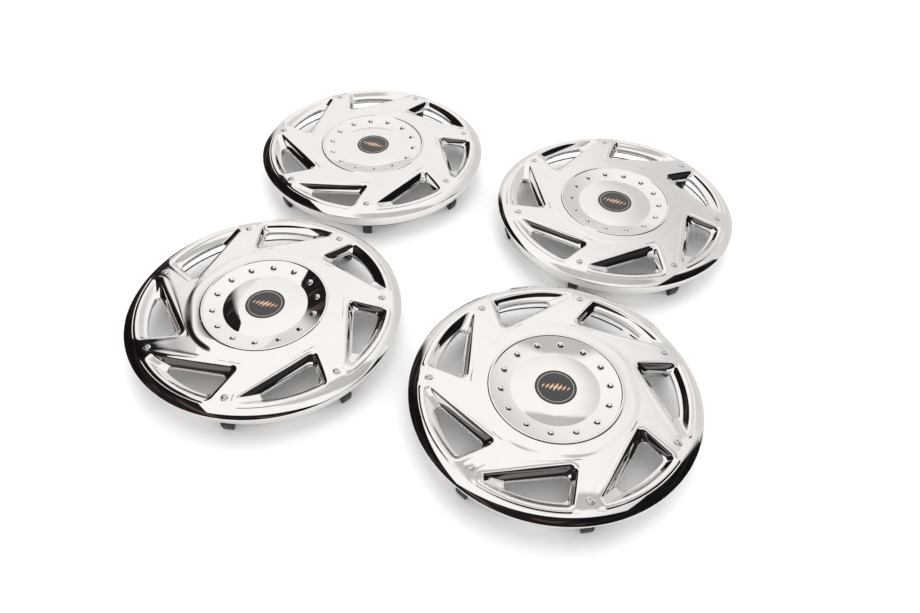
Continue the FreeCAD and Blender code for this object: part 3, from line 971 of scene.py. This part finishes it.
@dataclass(frozen=True)
class Studio:
    """Plain floor, a soft light panel overhead, a pale backdrop all round the back, and the camera."""

    floor_size: float = 14.0
    floor_tone: float = 0.90
    floor_tint: tuple[float, float, float] = (1.0, 1.0, 0.995)
    floor_roughness: float = 0.55
    panel_height: float = 1.3
    panel_outline: tuple[Pair, ...] = (
        (-1.05, -0.85), (1.05, -0.85), (1.1, 0.5), (4.2, 0.8), (4.2, 4.2), (-1.65, 4.2), (-0.90, 0.6),
    )
    panel_light: float = 1.10
    panel_right: Pair = (0.35, 1.1)
    panel_right_share: float = 0.74
    panel_back: Pair = (0.5, 1.7)
    panel_back_share: float = 0.92
    panel_dim_centre: Pair = (0.20, -0.12)
    panel_dim_reach: Pair = (0.75, 0.36)
    panel_dim_share: float = 0.55
    panel_dim_edge: Pair = (1.15, 1.45)
    panel_wave: float = 0.8
    panel_wave_scale: float = 2.6
    room: tuple[float, float, float] = (0.016, 0.014, 0.014)
    streak: tuple[float, float, float] = (0.11, 0.08, 0.068)
    streak_scale: float = 3.0
    streak_stretch: tuple[float, float, float] = (1.0, 1.0, 5.0)
    streak_edge: Pair = (0.52, 0.70)
    backdrop_heights: Pair = (15.0, 50.0)
    backdrop_low: float = 0.80
    backdrop_high: float = 1.0
    fill_power: float = 800.0
    fill_gap: float = 0.03
    patches: tuple[Patch, ...] = (
        Patch(-95.0, 75.0, -60.0, 24.0, 8.0, 0.9, (0.19, 0.18, 0.18)),
        Patch(-20.0, 42.0, -20.0, 80.0, 14.0, 0.85, (0.006, 0.006, 0.007)),
        Patch(160.0, 20.0, -20.0, 80.0, 10.0, 0.85, (0.006, 0.005, 0.005)),
    )
    backdrop: Patch = Patch(70.5, 51.5, -60.0, 120.0, 7.0, 1.0)
    camera_elevation: float = 47.109
    camera_roll: float = 2.4287
    camera_distance: float = 1.1821
    camera_lens: float = 29.583
    aim_share: Pair = (0.0153, -0.1280)
    aim_height: float = 0.045

    def floor(self) -> None:
        """Wide pale floor under the covers."""
        half = self.floor_size / 2
        mesh = bpy.data.meshes.new("floor")
        corners = [(-half, -half, 0), (half, -half, 0), (half, half, 0), (-half, half, 0)]
        mesh.from_pydata(corners, [], [(0, 1, 2, 3)])
        material = bpy.data.materials.new("pale_floor")
        material.use_nodes = True
        shader = material.node_tree.nodes["Principled BSDF"]
        tone = (self.floor_tone * share for share in self.floor_tint)
        shader.inputs["Base Color"].default_value = (*tone, 1.0)
        shader.inputs["Roughness"].default_value = self.floor_roughness
        mesh.materials.append(material)
        floor = bpy.data.objects.new("floor", mesh)
        bpy.context.scene.collection.objects.link(floor)
        log.info("floor")

    def panel(self) -> None:
        """Light panel over the covers, seen by them and not by the camera.

        Its light is the product of a smooth fall towards the right, a smooth fall towards the back
        and a dimmer oval with a wavy edge near its middle.
        """
        mesh = bpy.data.meshes.new("light_panel")
        corners = [(x, y, self.panel_height) for x, y in self.panel_outline]
        mesh.from_pydata(corners, [], [tuple(reversed(range(len(corners))))])
        material = bpy.data.materials.new("light_panel")
        material.use_nodes = True
        material.node_tree.nodes.remove(material.node_tree.nodes["Principled BSDF"])
        graph = Graph(material.node_tree)
        place, x, y, _ = graph.split("Object")
        dimmed = self.panel_light * self.panel_right_share
        light = graph.ranged(x, *self.panel_right, self.panel_light, dimmed)
        light = graph.maths("MULTIPLY", light, graph.ranged(y, *self.panel_back, 1.0, self.panel_back_share))
        across, along = (
            graph.maths("DIVIDE", graph.maths("SUBTRACT", value, middle), reach)
            for value, middle, reach in zip((x, y), self.panel_dim_centre, self.panel_dim_reach)
        )
        squares = (graph.maths("MULTIPLY", value, value) for value in (across, along))
        away = graph.maths("SQRT", graph.maths("ADD", *squares))
        wave = graph.maths("MULTIPLY", graph.noise(place, self.panel_wave_scale), self.panel_wave)
        away = graph.maths("ADD", away, wave)
        oval = graph.ranged(away, *self.panel_dim_edge, self.panel_dim_share, 1.0)
        light = graph.maths("MULTIPLY", light, oval)
        glow = graph.nodes.new("ShaderNodeEmission")
        graph.feed(glow.inputs["Strength"], light)
        graph.links.new(glow.outputs[0], graph.nodes["Material Output"].inputs["Surface"])
        mesh.materials.append(material)
        panel = bpy.data.objects.new("light_panel", mesh)
        panel.visible_camera = False
        panel.visible_shadow = False
        panel.visible_diffuse = False
        bpy.context.scene.collection.objects.link(panel)
        log.info("light panel")

    def fill(self) -> None:
        """Wide lamp under the panel that lights the floor and doesn't show in the chrome."""
        lamp = bpy.data.lights.new("fill", "AREA")
        lamp.energy = self.fill_power
        lamp.size = self.floor_size
        light = bpy.data.objects.new("fill", lamp)
        light.location = (0.0, 0.2, self.panel_height - self.fill_gap)
        light.visible_glossy = False
        light.visible_camera = False
        bpy.context.scene.collection.objects.link(light)
        log.info("fill lamp")

    def surroundings(self) -> None:
        """World shader: a dim, streaked room with a pale backdrop round the back.

        The bearing and height of a direction come from atan2(y, x) and asin(z). A patch weighs 1
        inside its limits and falls off smoothly over its soft edge. The backdrop brightens evenly
        with the height. The camera sees plain white.
        """
        world = bpy.data.worlds.new("studio")
        bpy.context.scene.world = world
        world.use_nodes = True
        graph = Graph(world.node_tree)
        place, x, y, z = graph.split("Generated")
        bearing, height = graph.maths("ARCTAN2", y, x), graph.maths("ARCSINE", z)
        unevenness = graph.noise(place, self.streak_scale, self.streak_stretch)
        streaks = graph.ranged(unevenness, *self.streak_edge, 0.0, 1.0)
        current = graph.blended(streaks, (*self.room, 1.0), (*self.streak, 1.0))
        for patch in self.patches:
            current = graph.blended(patch.weight(graph, bearing, height), current, (*patch.tint, 1.0))
        heights = (math.radians(limit) for limit in self.backdrop_heights)
        glow = graph.ranged(height, *heights, self.backdrop_low, self.backdrop_high)
        pale = graph.nodes.new("ShaderNodeCombineColor")
        for socket in pale.inputs[:3]:
            graph.feed(socket, glow)
        current = graph.blended(self.backdrop.weight(graph, bearing, height), current, pale.outputs[0])
        background = graph.nodes["Background"]
        graph.feed(background.inputs["Color"], current)
        plain = graph.nodes.new("ShaderNodeBackground")
        plain.inputs["Color"].default_value = (1.0, 1.0, 1.0, 1.0)
        seen = graph.nodes.new("ShaderNodeLightPath")
        choice = graph.nodes.new("ShaderNodeMixShader")
        graph.feed(choice.inputs[0], seen.outputs["Is Camera Ray"])
        graph.links.new(background.outputs[0], choice.inputs[1])
        graph.links.new(plain.outputs[0], choice.inputs[2])
        graph.links.new(choice.outputs[0], graph.nodes["World Output"].inputs["Surface"])
        bpy.context.scene.view_settings.view_transform = "Standard"
        log.info("surroundings with %d patches", len(self.patches))

    def camera(self) -> None:
        """Camera that looks down on the set from the front, turned a little about its axis."""
        low, high = rest_bounds
        centre, span = (low + high) / 2, high - low
        across_share, along_share = self.aim_share
        aim = Vector((centre.x + across_share * span.x, centre.y + along_share * span.y, self.aim_height))
        elevation, roll = math.radians(self.camera_elevation), math.radians(self.camera_roll)
        back = Vector((0.0, -math.cos(elevation), math.sin(elevation)))
        right, up = Vector((1.0, 0.0, 0.0)), Vector((0.0, math.sin(elevation), math.cos(elevation)))
        across = math.cos(roll) * right + math.sin(roll) * up
        upwards = -math.sin(roll) * right + math.cos(roll) * up
        data = bpy.data.cameras.new("camera")
        data.lens = self.camera_lens
        data.sensor_width = 36.0
        camera = bpy.data.objects.new("camera", data)
        turn = Matrix((across, upwards, back)).transposed().to_4x4()
        camera.matrix_world = Matrix.Translation(aim + back * self.camera_distance) @ turn
        bpy.context.scene.collection.objects.link(camera)
        bpy.context.scene.camera = camera
        log.info("camera %.3f m from its aim", self.camera_distance)


def main() -> None:
    """Builds the four covers, the studio and the camera in order."""
    logging.basicConfig(level=logging.INFO, format="%(name)s %(message)s")
    finishes = Finishes.build()
    for name, direction in BADGE_DIRECTIONS.items():
        Cover(Place.of(name), direction).build(finishes)
    studio = Studio()
    studio.floor()
    studio.panel()
    studio.fill()
    studio.surroundings()
    studio.camera()


if __name__ == "__main__":
    main()
